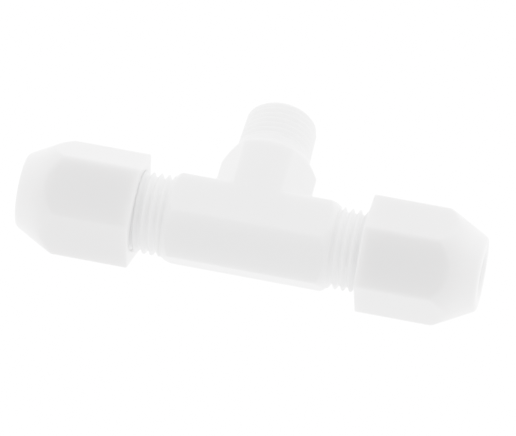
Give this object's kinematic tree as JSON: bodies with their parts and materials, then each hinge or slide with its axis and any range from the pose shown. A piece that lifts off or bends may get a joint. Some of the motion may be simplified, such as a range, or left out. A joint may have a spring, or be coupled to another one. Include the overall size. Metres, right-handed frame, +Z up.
{
  "type": "compression tee fitting",
  "caption": "Moulded plastic compression tee: hexagonal body, a union nut on each run end that unscrews on its thread, and a male threaded branch with a hexagonal collar.",
  "frame": {"origin": "where the axis of the run meets the axis of the branch, at the middle of the body's hexagon", "axes": "+X along the run, +Y along the branch towards its open end, +Z up, square to the plane of the tee"},
  "size_m": [0.0896, 0.0386, 0.0228],
  "materials": {
    "body_plastic": "natural white moulded plastic, slightly translucent",
    "nut_plastic": "natural white moulded plastic, slightly translucent",
    "ring_steel": "pressed stainless sheet",
    "seal_rubber": "moulded nitrile"
  },
  "bodies": {
    "tee": {"tee_body": "body_plastic", "right_o_ring": "seal_rubber", "left_o_ring": "seal_rubber"},
    "right_clamp_set": {"right_spacer_ring": "body_plastic", "right_grab_ring": "ring_steel"},
    "left_clamp_set": {"left_spacer_ring": "body_plastic", "left_grab_ring": "ring_steel"},
    "right_nut": {"right_union_nut": "nut_plastic"},
    "left_nut": {"left_union_nut": "nut_plastic"}
  },
  "joints": [
    {"name": "right_clamp_travel", "type": "slide", "parent": "tee", "child": "right_clamp_set", "axis": [1, 0, 0], "range_m": [0, 0.0105]},
    {"name": "right_nut_turn", "type": "hinge", "parent": "right_clamp_set", "child": "right_nut", "pos_m": [0, 0, 0], "axis": [1, 0, 0], "range_deg": [0, 2520.1]},
    {"name": "left_clamp_travel", "type": "slide", "parent": "tee", "child": "left_clamp_set", "axis": [-1, 0, 0], "range_m": [0, 0.0105]},
    {"name": "left_nut_turn", "type": "hinge", "parent": "left_clamp_set", "child": "left_nut", "pos_m": [0, 0, 0], "axis": [-1, 0, 0], "range_deg": [0, 2520.1]}
  ],
  "couplings": [
    {"joint": "right_nut_turn", "follows": "right_clamp_travel", "rad_per_m": 4188.8},
    {"joint": "left_nut_turn", "follows": "left_clamp_travel", "rad_per_m": 4188.8}
  ]
}
